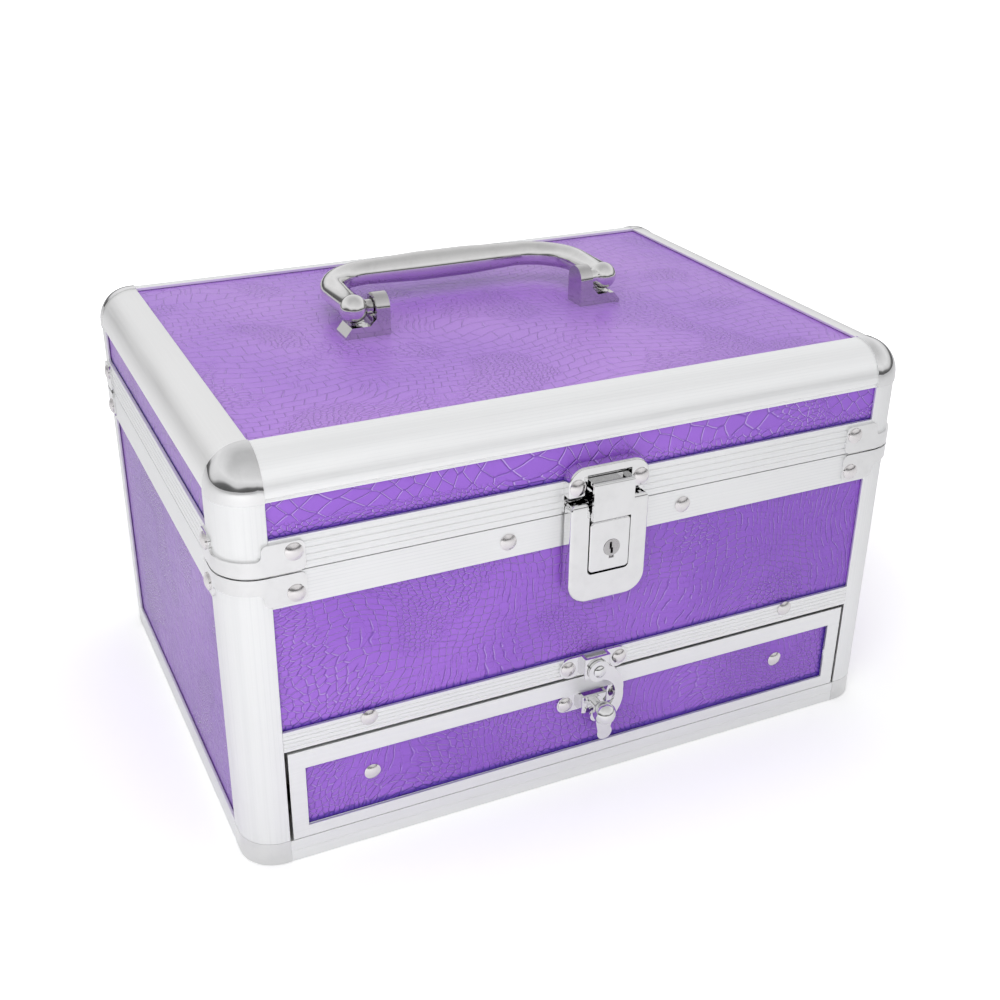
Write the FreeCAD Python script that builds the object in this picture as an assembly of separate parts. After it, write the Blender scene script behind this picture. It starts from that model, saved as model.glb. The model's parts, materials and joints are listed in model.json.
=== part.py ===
import FreeCAD, Part
import math
import os
from FreeCAD import Vector as V

# Makeup case with a carrying handle, a hinged lid, a key lock and a hooked drawer.
# Frame: +Z up, +X to the right seen from the front, the front faces -Y.
# The origin is the centre of the underside. All sizes are in millimetres.

# ---------------------------------------------------------------- whole case
WIDTH = 305.0
DEPTH = 225.0
HEIGHT = 180.0
LID_HEIGHT = 46.5
SEAM_GAP = 0.4

# ------------------------------------------------- aluminium profiles, panels
SKIN = 1.2
CORNER_R = 15.0
POST_FLANGE_X = 17.3
POST_FLANGE_Y = 21.0
EDGE_FLANGE = 17.2
RECESS = 1.5
BOARD = 4.0
CHANNEL = 12.2
CHANNEL_PLAY = 0.1
LINER = 1.2
LINER_PLAY = 0.2
RIM_HEIGHT = 14.0
RIM_LEG = 9.0
TONGUE_V = 4.2
TONGUE_T = 1.4
TONGUE_H = 3.2
TONGUE_PLAY = 0.8
GROOVE_IN_PLAY = 1.3
GROOVE_D = 0.3
EDGE_GROOVES = (15.8, 16.5)
RIM_GROOVE_COUNT = 4
HEADER_GROOVE_COUNT = 4
HEADER_Z = 54.4
HEADER_HEIGHT = 9.2
BASE_RAIL_H = 11.0
SILL_H = 10.3
SILL_DEPTH = 8.0
BASE_FOOT = 14.0
FLOOR_T = 3.0
FLOOR_UP = 1.6
PAD_T = 2.8

# ------------------------------------------------------ chrome corner fittings
BALL_PROUD = 0.5
BALL_T = 1.3
CLASP_T = 1.0
CLASP_EDGE_GAP = 0.4
CLASP_ARM_H = 12.4
CLASP_BAND_H = 6.4
CLASP_START = 14.2
CLASP_FRONT_END = 30.5
CLASP_SIDE_END = 26.0
CLASP_FILLET = 2.4
CLASP_RIVET_FRONT = 26.3
CLASP_RIVET_SIDE = 20.5
CLASP_RIVET_UP = 8.2

# ---------------------------------------------------------------- rivet heads
RIVET_R = 3.5
RIVET_H = 1.5
PLATE_RIVET_R = 3.3
SMALL_RIVET_R = 2.6
SMALL_RIVET_H = 1.1
RIM_RIVET_X = 40.0
HEADER_RIVET_X = 100.0
HEADER_RIVET_UP = 6.6
DRAWER_RIVET_X = 99.0
DRAWER_RIVET_UP = 22.4

# --------------------------------------------------------------- rear hinges
HINGE_X = 85.0
HINGE_LEN = 40.0
HINGE_KNUCKLES = 5
HINGE_OUT = 2.5
HINGE_R = 2.4
HINGE_PIN_R = 1.1
HINGE_PLAY = 0.06
HINGE_LEAF_H = 12.0
HINGE_LEAF_T = 1.0
HINGE_NOTCH = 2.9
HINGE_SIDE_PLAY = 0.15
HINGE_RIVET_X = 13.5
HINGE_RIVET_Z = 8.4

# -------------------------------------------------------------------- handle
HANDLE_Y = -1.3
HANDLE_Z_UP = 11.5
EAR_X0 = 46.8
EAR_T = 6.2
EAR_DEPTH = 12.4
EAR_RECESS_R = 4.4
EAR_RECESS = 1.2
FOOT_LEN = 14.4
FOOT_T = 4.8
FOOT_TIP = 1.2
FOOT_CHAMFER = 3.0
PIN_R = 2.2
PIN_PLAY = 0.06
PIN_BORE = 7.0
PIN_END_PLAY = 0.4
LUG_GAP = 0.5
LUG_R = 6.2
LUG_NECK_R = 3.4
HANDLE_X = 61.4
ARM_R = 5.7
GRIP_R = 7.0
ARM_STRAIGHT = 23.8
HANDLE_BEND = 24.0
BOLT_R = 2.4
BOLT_PLAY = 0.1
SEAT_R = 4.2
SEAT_DEPTH = 1.8
BOLT_HEAD_R = 3.9
BOLT_SLOT_L = 4.8
BOLT_SLOT_W = 0.8
BOLT_SLOT_D = 0.8

# ------------------------------------------------------------------ key lock
LOCK_X = 1.6
STRIKE_W = 36.0
STRIKE_BOTTOM_UP = 0.8
STRIKE_TOP_UP = 21.1
STRIKE_STEP_UP = 8.3
STRIKE_T = 1.0
STRIKE_RISE = 5.0
STRIKE_R = 7.0
STRIKE_FOOT_R = 1.0
STRIKE_SOFT = 0.8
STRIKE_RIVET_X = 14.2
STRIKE_RIVET_UP = 12.9
POCKET_W = 20.0
POCKET_S = 1.6
POCKET_MARGIN = 3.6
LIP_W = 14.0
LIP_S = 6.0
LIP_T = 1.1
LIP_TOP_UP = 13.5
LIP_ROOT_UP = 8.7
LOCK_W = 35.4
LEVER_S0 = 1.3
LEVER_S1 = 7.0
LEVER_WALL = 1.0
LEVER_BOTTOM_DOWN = 39.0
LEVER_R = 9.0
LEVER_PIVOT_S = 4.0
LEVER_PIVOT_UP = 3.9
LEVER_TOP_R = 2.75
WINDOW_W = 19.0
WINDOW_BOTTOM_DOWN = 26.4
WINDOW_R = 2.0
LEVER_SOFT = 1.2
LEVER_TOP_CORNER = 4.0
CLAW_PIVOT_OUT = 1.9
CLAW_PIVOT_DOWN = 3.8
CLAW_PIN_R = 1.0
CLAW_EYE_R = 2.0
CLAW_W = 18.4
CLAW_S = 9.4
CLAW_T = 1.2
CLAW_BOTTOM_DOWN = 1.1
CLAW_TIP_S = 2.3
CLAW_TIP_UP = 12.4
CLAW_SEAT = 0.3
CLAW_TOP_T = 1.4
CLAW_R = 1.1
PIVOT_R = 1.0
PIVOT_PLAY = 0.05
PIN_BLIND = 0.3
BASE_T = 1.0
BASE_W = 33.0
BASE_BOTTOM_DOWN = 37.0
BASE_R = 7.0
EAR_IN = 1.6
LOCK_EAR_T = 1.2
EAR_PLAY = 0.2
LOCK_EAR_LOW_DOWN = 11.5
HOUSING_W = 18.2
HOUSING_BOTTOM_DOWN = 25.3
HOUSING_TOP_DOWN = 2.5
HOUSING_S = 7.7
HOUSING_R = 1.8
HOUSING_SOFT = 0.7
KEY_DOWN = 15.2
KEY_SHIFT = 0.9
KEY_R = 3.7
KEY_PLAY = 0.05
KEY_DEPTH = 6.0
KEY_PROUD = 0.2
KEYWAY_W = 1.1
KEYWAY_L = 5.2
KEYWAY_D = 4.0
NOTCH_W = 2.2
NOTCH_H = 1.3
NOTCH_DROP = 4.9
NOTCH_D = 2.0

# --------------------------------------------------------------- drawer hook
HOOK_X = 1.0
BRACKET_W = 32.6
BRACKET_H = 9.6
BRACKET_T = 1.0
BRACKET_UP = 4.9
BRIDGE_W = 12.2
BRIDGE_S = 4.6
BRIDGE_T = 1.2
BRIDGE_SOFT = 0.8
END_RIVET_X = 12.3
HOOK_PIVOT_UP = 3.5
HOOK_PLAY = 0.2
HOOK_T = 1.4
HOOK_DISC_R = 5.0
HOOK_PIN_R = 1.6
HOOK_PIN_PLAY = 0.06
HOOK_HEAD_R = 2.7
HOOK_HEAD_H = 1.2
HOOK_CATCH = 17.5
HOOK_ARM_X = 12.1
HOOK_THROAT_X = 8.2
HOOK_TAB_X = 4.0
HOOK_TAB_DROP = 32.5
HOOK_TAB_R = 3.6
HOOK_JAW_T = 4.9
KEEPER_H = 8.0
KEEPER_DROP = 0.2
KEEPER_BRIDGE_S = 3.4
POST_SHANK_R = 2.3
POST_SHANK_PLAY = 0.3
POST_COLLAR_R = 3.6
POST_COLLAR_T = 0.8
KNOB_R = 5.0
KNOB_S = 11.8
KNOB_FLAT_S = 7.1

# -------------------------------------------------------------------- drawer
DRAWER_GAP_X = 1.3
DRAWER_GAP_TOP = 1.5
DRAWER_GAP_BOTTOM = 0.3
STRIP_SIDE = 6.8
STRIP_TOP = 8.4
STRIP_BOTTOM = 5.4
STRIP_RETURN = 7.0
BOX_SIDE_GAP = 0.6
BOX_T = 4.0
BOX_DROP = 3.6
BOX_RISE = 1.4
BOX_REAR_GAP = 10.0
BOX_BOTTOM_T = 2.6
GUIDE_T = 4.0
LEDGE_W = 9.0
LEDGE_PLAY = 0.3
GUIDE_START = 9.0
BOX_LINER = 1.0

# ------------------------------------------------------------ derived places
X0 = -WIDTH / 2
Y0 = -DEPTH / 2
SEAM_Z = HEIGHT - LID_HEIGHT
BODY_TOP = SEAM_Z - SEAM_GAP / 2
LID_BOTTOM = SEAM_Z + SEAM_GAP / 2
FLOOR_Z = HEADER_Z + FLOOR_UP
PANEL_BACK = RECESS + BOARD
LINER_V = PANEL_BACK + SKIN + LINER_PLAY
LINER_IN = LINER_V + LINER
LEG_V = LINER_IN + LINER_PLAY
LEG_IN = LEG_V + SKIN
HEADER_TOP = HEADER_Z + HEADER_HEIGHT
LID_EDGE_Z = HEIGHT - EDGE_FLANGE
PANEL_EDGE = CHANNEL + CHANNEL_PLAY
BASE_FLOOR = SKIN + BOARD
CAP_H = SILL_H + DRAWER_GAP_BOTTOM
DRAWER_X = WIDTH / 2 - POST_FLANGE_X - DRAWER_GAP_X
DRAWER_Z0 = SILL_H + DRAWER_GAP_BOTTOM
DRAWER_Z1 = HEADER_Z - DRAWER_GAP_TOP
BOX_X = WIDTH / 2 - POST_FLANGE_X - GUIDE_T - BOX_SIDE_GAP
BOX_Z0 = DRAWER_Z0 + BOX_RISE
BOX_Z1 = DRAWER_Z1 - BOX_DROP
BOX_LENGTH = DEPTH - 2 * PANEL_BACK - BOX_REAR_GAP
DRAWER_RIVET_Z = DRAWER_Z0 + DRAWER_RIVET_UP
TOP_FACE_Z = HEIGHT - RECESS
PIN_Z = TOP_FACE_Z + HANDLE_Z_UP
HINGE_Y = DEPTH / 2 + HINGE_OUT
STRIKE_BOTTOM = SEAM_Z + STRIKE_BOTTOM_UP
STRIKE_TOP = SEAM_Z + STRIKE_TOP_UP
STRIKE_STEP_Z = SEAM_Z + STRIKE_STEP_UP
STRIKE_RIVET_Z = SEAM_Z + STRIKE_RIVET_UP
LIP_TOP = SEAM_Z + LIP_TOP_UP
LIP_ROOT = SEAM_Z + LIP_ROOT_UP
LEVER_BOTTOM = SEAM_Z - LEVER_BOTTOM_DOWN
LEVER_PIVOT_Z = SEAM_Z + LEVER_PIVOT_UP
WINDOW_BOTTOM = SEAM_Z - WINDOW_BOTTOM_DOWN
CLAW_BOTTOM = SEAM_Z - CLAW_BOTTOM_DOWN
CLAW_TIP_Z = SEAM_Z + CLAW_TIP_UP
BASE_BOTTOM = SEAM_Z - BASE_BOTTOM_DOWN
LOCK_EAR_LOW = SEAM_Z - LOCK_EAR_LOW_DOWN
HOUSING_BOTTOM = SEAM_Z - HOUSING_BOTTOM_DOWN
HOUSING_TOP = SEAM_Z - HOUSING_TOP_DOWN
KEY_X = LOCK_X + KEY_SHIFT
KEY_Z = SEAM_Z - KEY_DOWN
BRACKET_Z = HEADER_Z + BRACKET_UP
HOOK_PIVOT_Z = HEADER_Z + HOOK_PIVOT_UP
CLAW_B_S = LEVER_PIVOT_S + CLAW_PIVOT_OUT
CLAW_B_Z = LEVER_PIVOT_Z - CLAW_PIVOT_DOWN
POST_Z = HOOK_PIVOT_Z - HOOK_CATCH
KEEPER_Z = POST_Z - KEEPER_DROP
HOOK_S0 = BRIDGE_S + HOOK_PLAY
HOOK_S1 = HOOK_S0 + HOOK_T


# ------------------------------------------------------------- small helpers
def box(x0, x1, y0, y1, z0, z1):
    return Part.makeBox(x1 - x0, y1 - y0, z1 - z0, V(x0, y0, z0))


def rod(start, direction, radius, length):
    return Part.makeCylinder(radius, length, start, direction)


def outline(place, start, *steps):
    """A closed face: a step of two numbers is a line, one of four an arc through a middle point."""
    edges = []
    here = place(*start)
    for step in steps + (start,):
        there = place(*step[-2:])
        if len(step) == 4:
            edges.append(Part.Arc(here, place(*step[:2]), there).toShape())
        elif here.distanceToPoint(there) > 1e-6:
            edges.append(Part.makeLine(here, there))
        here = there
    return Part.Face(Part.Wire(edges))


def rounded(place, a0, a1, b0, b1, radii):
    """A rectangle with its own corner radius at (a0,b0), (a1,b0), (a1,b1) and (a0,b1)."""
    k = 1 - math.sqrt(0.5)
    r0, r1, r2, r3 = radii
    steps = [(a1 - r1, b0)]
    if r1:
        steps.append((a1 - k * r1, b0 + k * r1, a1, b0 + r1))
    steps.append((a1, b1 - r2))
    if r2:
        steps.append((a1 - k * r2, b1 - k * r2, a1 - r2, b1))
    steps.append((a0 + r3, b1))
    if r3:
        steps.append((a0 + k * r3, b1 - k * r3, a0, b1 - r3))
    steps.append((a0, b0 + r0))
    if r0:
        steps.append((a0 + k * r0, b0 + k * r0, a0 + r0, b0))
    return outline(place, (a0 + r0, b0), *steps)


def mirror_x(shape):
    return shape.mirror(V(0, 0, 0), V(1, 0, 0))


def mirror_y(shape):
    return shape.mirror(V(0, 0, 0), V(0, 1, 0))


def four_corners(shape):
    """Front left, front right, rear left and rear right copies of a front left piece."""
    return [shape, mirror_x(shape), mirror_y(shape), mirror_x(mirror_y(shape))]


def fuse(first, *others):
    return first.multiFuse(list(others)).removeSplitter()


def save(name, *shapes):
    solids = [solid for shape in shapes for solid in shape.Solids]
    result = solids[0] if len(solids) == 1 else Part.makeCompound(solids)
    result.exportStep(f"parts/{name}.step")


def lock_front(s):
    """Places (x, z) on a plane s in front of the front face."""
    return lambda a, b: V(a, Y0 - s, b)


def lock_side(x):
    """Places (s, z) of a side profile, s in front of the front face."""
    return lambda a, b: V(x, Y0 - a, b)


def dome(radius, height, centre, direction):
    """A rivet head: a shallow dome on a thin straight rim."""
    rim = 0.3 * height
    rise = height - rim
    ball = (radius * radius + rise * rise) / (2 * rise)
    half = math.asin(radius / ball) / 2
    middle = (ball * math.sin(half), rim + ball * math.cos(half) - (ball - rise))
    side = outline(lambda a, b: V(a, 0, b), (0, 0), (radius, 0), (radius, rim), middle + (0, height))
    head = side.revolve(V(0, 0, 0), V(0, 0, 1), 360)
    head.Placement = FreeCAD.Placement(centre, FreeCAD.Rotation(V(0, 0, 1), direction))
    return head


# ------------------------------------------------------ aluminium and panels
def corner_skin(place, len_a, len_b):
    """Rounded outer skin of a corner profile, from its two flange ends."""
    outer = CORNER_R
    inner = CORNER_R - SKIN
    ko = CORNER_R - outer * math.sqrt(0.5)
    ki = CORNER_R - inner * math.sqrt(0.5)
    return outline(place, (0, len_b), (0, CORNER_R), (ko, ko, CORNER_R, 0), (len_a, 0), (len_a, SKIN),
                   (CORNER_R, SKIN), (ki, ki, SKIN, CORNER_R), (SKIN, len_b))


def corner_profile(place, run, len_a, len_b):
    """Hollow corner extrusion with a channel for a board along each flange."""
    root = CORNER_R - math.sqrt((CORNER_R - SKIN / 2) ** 2 - (CORNER_R - CHANNEL + SKIN / 2) ** 2)
    shelf = PANEL_BACK + SKIN
    sections = [corner_skin(place, len_a, len_b)]
    for swap in (False, True):
        end = len_b if swap else len_a
        pieces = [((CHANNEL - SKIN, root), (CHANNEL, root), (CHANNEL, shelf), (CHANNEL - SKIN, shelf)),
                  ((CHANNEL - SKIN, PANEL_BACK), (end, PANEL_BACK), (end, shelf), (CHANNEL - SKIN, shelf))]
        for corners in pieces:
            points = [(b, a) if swap else (a, b) for a, b in corners]
            sections.append(outline(place, *points))
    solids = [section.extrude(run) for section in sections]
    return fuse(*solids)


def grooves(place, run, spots):
    """Cutters for fine V grooves along the outer face of a profile."""
    cuts = []
    for b in spots:
        face = outline(place, (-GROOVE_D, b - 2 * GROOVE_D), (GROOVE_D, b), (-GROOVE_D, b + 2 * GROOVE_D))
        cuts.append(face.extrude(run))
    return Part.makeCompound(cuts)


def plan(z):
    return lambda a, b: V(X0 + a, Y0 + b, z)


def end_plate(z0):
    """Closes a post at the seam and covers the corner between two rims."""
    k = CORNER_R * (1 - math.sqrt(0.5))
    face = outline(plan(z0), (0, POST_FLANGE_Y), (0, CORNER_R), (k, k, CORNER_R, 0), (POST_FLANGE_X, 0),
                   (POST_FLANGE_X, LEG_IN), (LEG_IN, LEG_IN), (LEG_IN, POST_FLANGE_Y))
    return face.extrude(V(0, 0, SKIN))


def post(z0, z1, plate_z):
    body = corner_profile(plan(z0), V(0, 0, z1 - z0), POST_FLANGE_X, POST_FLANGE_Y)
    return fuse(body, end_plate(plate_z))


def spaced(low, high, count):
    step = (high - low) / (count + 1)
    return [low + step * (i + 1) for i in range(count)]


def rim(place, bottom, lid):
    """Section of the lid rim, with its groove, or of the body rim, with its tongue."""
    top = bottom + RIM_HEIGHT
    if lid:
        g0 = TONGUE_V - TONGUE_PLAY
        g1 = TONGUE_V + TONGUE_T + GROOVE_IN_PLAY
        roof = bottom + TONGUE_H + TONGUE_PLAY
        return outline(place, (0, bottom), (g0, bottom), (g0, roof), (g1, roof), (g1, bottom),
                       (LEG_IN, bottom), (LEG_IN, bottom + RIM_LEG), (LEG_V, bottom + RIM_LEG),
                       (LEG_V, roof + SKIN), (SKIN, roof + SKIN), (SKIN, top), (0, top))
    t1 = TONGUE_V + TONGUE_T
    return outline(place, (0, bottom), (SKIN, bottom), (SKIN, top - SKIN), (LEG_V, top - SKIN),
                   (LEG_V, top - RIM_LEG), (LEG_IN, top - RIM_LEG), (LEG_IN, top), (t1, top),
                   (t1, top + TONGUE_H), (TONGUE_V, top + TONGUE_H), (TONGUE_V, top), (0, top))


def four_rails(section, grooved=()):
    """Front, rear, left and right straights of one section between the four corners."""
    half_x = WIDTH / 2 - POST_FLANGE_X
    half_y = DEPTH / 2 - POST_FLANGE_Y
    along_x = V(2 * half_x, 0, 0)
    along_y = V(0, 2 * half_y, 0)
    front_end = lambda a, b: V(-half_x, Y0 + a, b)
    left_end = lambda a, b: V(X0 + a, -half_y, b)
    front_rail = section(front_end).extrude(along_x)
    left_rail = section(left_end).extrude(along_y)
    if grooved:
        front_rail = front_rail.cut(grooves(front_end, along_x, grooved))
        left_rail = left_rail.cut(grooves(left_end, along_y, grooved))
    return [front_rail, mirror_y(front_rail), left_rail, mirror_x(left_rail)]


def lid_edge():
    """Rounded extrusions round the top of the lid, between the ball corners."""
    half_x = WIDTH / 2 - EDGE_FLANGE
    half_y = DEPTH / 2 - EDGE_FLANGE
    along_x = V(2 * half_x, 0, 0)
    along_y = V(0, 2 * half_y, 0)
    front_end = lambda a, b: V(-half_x, Y0 + a, HEIGHT - b)
    left_end = lambda a, b: V(X0 + a, -half_y, HEIGHT - b)
    front_edge = corner_profile(front_end, along_x, EDGE_FLANGE, EDGE_FLANGE)
    left_edge = corner_profile(left_end, along_y, EDGE_FLANGE, EDGE_FLANGE)
    front_edge = front_edge.cut(grooves(front_end, along_x, EDGE_GROOVES))
    return front_edge, mirror_y(front_edge), left_edge, mirror_x(left_edge)


def rounded_corner_block(proud, radius, size):
    """A block at the top front left corner with one ball shaped corner."""
    reach = 3 * radius
    block = box(X0 - proud, X0 + reach, Y0 - proud, Y0 + reach, HEIGHT - reach, HEIGHT + proud)
    tip = V(X0 - proud, Y0 - proud, HEIGHT + proud)
    near = [e for e in block.Edges if any(v.Point.distanceToPoint(tip) < 1e-6 for v in e.Vertexes)]
    block = block.makeFillet(radius, near)
    return block.common(box(X0 - proud, X0 + size, Y0 - proud, Y0 + size, HEIGHT - size, HEIGHT + proud))


def ball_corner():
    """Chrome ball corner: a thin shell over the meeting of three profiles."""
    outer = rounded_corner_block(BALL_PROUD, CORNER_R + BALL_PROUD, EDGE_FLANGE)
    inner = rounded_corner_block(BALL_PROUD - BALL_T, CORNER_R + BALL_PROUD - BALL_T, EDGE_FLANGE)
    return outer.cut(inner)


def clasp(z_seam, up):
    """Corner brace: a narrow band round the post with an arm along each rim. It rises for the lid."""
    arm = V(0, 0, up * CLASP_ARM_H)
    outer = CORNER_R + CLASP_T
    ko = CORNER_R - outer * math.sqrt(0.5)
    ki = CORNER_R * (1 - math.sqrt(0.5))
    t = CLASP_T
    place = plan(z_seam)
    ring = outline(place, (-t, CLASP_SIDE_END), (-t, CORNER_R), (ko, ko, CORNER_R, -t), (CLASP_FRONT_END, -t),
                   (CLASP_FRONT_END, 0), (CORNER_R, 0), (ki, ki, 0, CORNER_R), (0, CLASP_SIDE_END))
    body = ring.extrude(arm)
    z_band = z_seam + up * CLASP_BAND_H
    z_out = z_seam + up * (CLASP_ARM_H + 2 * t)
    low, high = sorted((z_band, z_out))
    window = box(X0 - 2 * t, X0 + CLASP_START, Y0 - 2 * t, Y0 + CLASP_START, low, high)
    body = body.cut(window)
    return soften_clasp(body, z_seam, z_band, z_seam + up * CLASP_ARM_H)


def soften_clasp(body, z_seam, z_band, z_arm):
    """Rounds the arm ends and the inner corners above the band."""
    picked = []
    for edge in body.Edges:
        middle = edge.CenterOfMass
        if edge.Length > 1.5 * CLASP_T or abs(edge.BoundBox.ZLength) > 1e-6:
            continue
        inner = abs(middle.z - z_band) < 1e-6
        end = abs(middle.z - z_arm) < 1e-6 or abs(middle.z - z_seam) < 1e-6
        far_x = abs(middle.x - (X0 + CLASP_FRONT_END)) < 1e-6 or abs(middle.x - (X0 + CLASP_START)) < 1e-6
        far_y = abs(middle.y - (Y0 + CLASP_SIDE_END)) < 1e-6 or abs(middle.y - (Y0 + CLASP_START)) < 1e-6
        if (inner or end) and (far_x or far_y):
            picked.append(edge)
    return body.makeFillet(CLASP_FILLET, picked)


def clasp_rivets(z_seam, up):
    z = z_seam + up * CLASP_RIVET_UP
    heads = [dome(RIVET_R, RIVET_H, V(X0 + CLASP_RIVET_FRONT, Y0 - CLASP_T, z), V(0, -1, 0)),
             dome(RIVET_R, RIVET_H, V(X0 - CLASP_T, Y0 + CLASP_RIVET_SIDE, z), V(-1, 0, 0))]
    return [copy for head in heads for copy in four_corners(head)]


def wall_boards(z0_front, z0, z1):
    """Front, rear, left and right boards, held in the channels of the corner profiles."""
    half_x = WIDTH / 2 - PANEL_EDGE
    half_y = DEPTH / 2 - PANEL_EDGE
    return (box(-half_x, half_x, Y0 + RECESS, Y0 + PANEL_BACK, z0_front, z1),
            box(-half_x, half_x, -Y0 - PANEL_BACK, -Y0 - RECESS, z0, z1),
            box(X0 + RECESS, X0 + PANEL_BACK, -half_y, half_y, z0, z1),
            box(-X0 - PANEL_BACK, -X0 - RECESS, -half_y, half_y, z0, z1))


def liner_box(z_floor, z_rim, z_sheet):
    """Four lining walls and the sheet that closes them, below or above."""
    x1, y1 = WIDTH / 2 - LINER_V, DEPTH / 2 - LINER_V
    x2, y2 = WIDTH / 2 - LINER_IN, DEPTH / 2 - LINER_IN
    z0, z1 = min(z_floor, z_rim), max(z_floor, z_rim)
    walls = [box(-x1, x1, -y1, -y2, z0, z1), box(-x1, x1, y2, y1, z0, z1),
             box(-x1, -x2, -y2, y2, z0, z1), box(x2, x1, -y2, y2, z0, z1)]
    low, high = sorted((z_floor, z_sheet))
    sheet = box(-x2, x2, -y2, y2, low, high)
    return walls + [sheet]


# ----------------------------------------------------------------- body case
def make_body():
    base_z = CAP_H
    corner_post = post(base_z, BODY_TOP, BODY_TOP - SKIN)
    names = ("front_left", "front_right", "rear_left", "rear_right")
    for name, piece in zip(names, four_corners(corner_post)):
        save(f"body_post_{name}", piece)
    boards = wall_boards(HEADER_Z + SKIN, BASE_FLOOR, BODY_TOP - SKIN)
    for name, board in zip(("front", "rear", "left", "right"), boards):
        save(f"body_panel_{name}", board)
    save("body_rim", *four_rails(lambda place: rim(place, BODY_TOP - RIM_HEIGHT, False)))
    save("header_rail", header_rail())
    save("compartment_floor", compartment_floor())
    liner_floor = FLOOR_Z + FLOOR_T
    save("body_lining", *liner_box(liner_floor, BODY_TOP - SKIN, liner_floor + LINER))
    make_base()
    top = SEAM_Z - CLASP_EDGE_GAP
    save("body_corner_clasps", *four_corners(clasp(top, -1)))
    save("body_rivets", *body_rivets(top), *hinge_rivets(-1), *hook_bracket_rivets())


def header_rail():
    """Ribbed rail across the front above the drawer, with a channel for the front board."""
    half_x = WIDTH / 2 - POST_FLANGE_X
    place = lambda a, b: V(-half_x, Y0 + a, b)
    in0, in1 = PANEL_BACK, PANEL_BACK + SKIN
    z0, z1 = HEADER_Z, HEADER_TOP
    leg = FLOOR_Z + FLOOR_T
    face = outline(place, (0, z0), (in1, z0), (in1, leg), (in0, leg), (in0, z0 + SKIN), (SKIN, z0 + SKIN),
                   (SKIN, z1), (0, z1))
    run = V(2 * half_x, 0, 0)
    return face.extrude(run).cut(grooves(place, run, spaced(z0, z1, HEADER_GROOVE_COUNT)))


def compartment_floor():
    inset = PANEL_BACK + SKIN
    return box(X0 + inset, -X0 - inset, Y0 + inset, -Y0 - inset, FLOOR_Z, FLOOR_Z + FLOOR_T)


def make_base():
    half_x = WIDTH / 2 - POST_FLANGE_X
    side = lambda place: outline(place, (0, 0), (BASE_FOOT, 0), (BASE_FOOT, SKIN), (SKIN, SKIN),
                                 (SKIN, BASE_RAIL_H), (0, BASE_RAIL_H))
    rails = four_rails(side)[1:]
    place = lambda a, b: V(-half_x, Y0 + a, b)
    run = V(2 * half_x, 0, 0)
    sill = outline(place, (0, 0), (BASE_FOOT, 0), (BASE_FOOT, SKIN), (SKIN, SKIN), (SKIN, SILL_H - SKIN),
                   (SILL_DEPTH - SKIN, SILL_H - SKIN), (SILL_DEPTH - SKIN, BASE_FLOOR),
                   (SILL_DEPTH, BASE_FLOOR), (SILL_DEPTH, SILL_H), (0, SILL_H)).extrude(run)
    sill = sill.cut(grooves(place, run, [SILL_H / 2]))
    save("base_rails", sill, *rails)
    save("base_corner_caps", *four_corners(base_cap()))
    inner = CORNER_R - SKIN
    play = SKIN + CHANNEL_PLAY
    bottom = rounded(plan(SKIN), play, WIDTH - play, play, DEPTH - play, (inner, inner, inner, inner))
    foot = BASE_FOOT + CHANNEL_PLAY
    flush = box(X0 + foot, -X0 - foot, Y0 + foot, -Y0 - foot, 0, SKIN)
    notch = box(X0, X0 + POST_FLANGE_X + CHANNEL_PLAY, Y0, Y0 + POST_FLANGE_Y + CHANNEL_PLAY, 0, SKIN)
    flush = flush.cut(Part.makeCompound(four_corners(notch)))
    save("bottom_panel", fuse(bottom.extrude(V(0, 0, BOARD)), flush))
    save("drawer_guides", *drawer_guides())


def base_cap():
    wall = corner_skin(plan(0), POST_FLANGE_X, POST_FLANGE_Y).extrude(V(0, 0, CAP_H))
    k = CORNER_R * (1 - math.sqrt(0.5))
    sole = outline(plan(0), (0, POST_FLANGE_Y), (0, CORNER_R), (k, k, CORNER_R, 0), (POST_FLANGE_X, 0),
                   (POST_FLANGE_X, POST_FLANGE_Y)).extrude(V(0, 0, SKIN))
    return fuse(wall, sole)


def drawer_guides():
    """Side boards that carry the floor and guide the drawer, each with a ledge under it."""
    x1 = WIDTH / 2 - POST_FLANGE_X
    x0 = x1 - GUIDE_T
    ledge_top = BOX_Z0 - LEDGE_PLAY
    y0, y1 = Y0 + GUIDE_START, -Y0 - PANEL_BACK
    place = lambda a, b: V(a, y0, b)
    face = outline(place, (x0 - LEDGE_W, BASE_FLOOR), (x1, BASE_FLOOR), (x1, FLOOR_Z), (x0, FLOOR_Z),
                   (x0, ledge_top), (x0 - LEDGE_W, ledge_top))
    guide = face.extrude(V(0, y1 - y0, 0))
    return [guide, mirror_x(guide)]


def body_rivets(z_clasp):
    heads = clasp_rivets(z_clasp, -1)
    rim_z = BODY_TOP - RIM_HEIGHT / 2
    header_z = HEADER_Z + HEADER_RIVET_UP
    for side in (-1, 1):
        heads.append(dome(RIVET_R, RIVET_H, V(side * RIM_RIVET_X, Y0, rim_z), V(0, -1, 0)))
        heads.append(dome(RIVET_R, RIVET_H, V(side * HEADER_RIVET_X, Y0, header_z), V(0, -1, 0)))
    return heads


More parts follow.
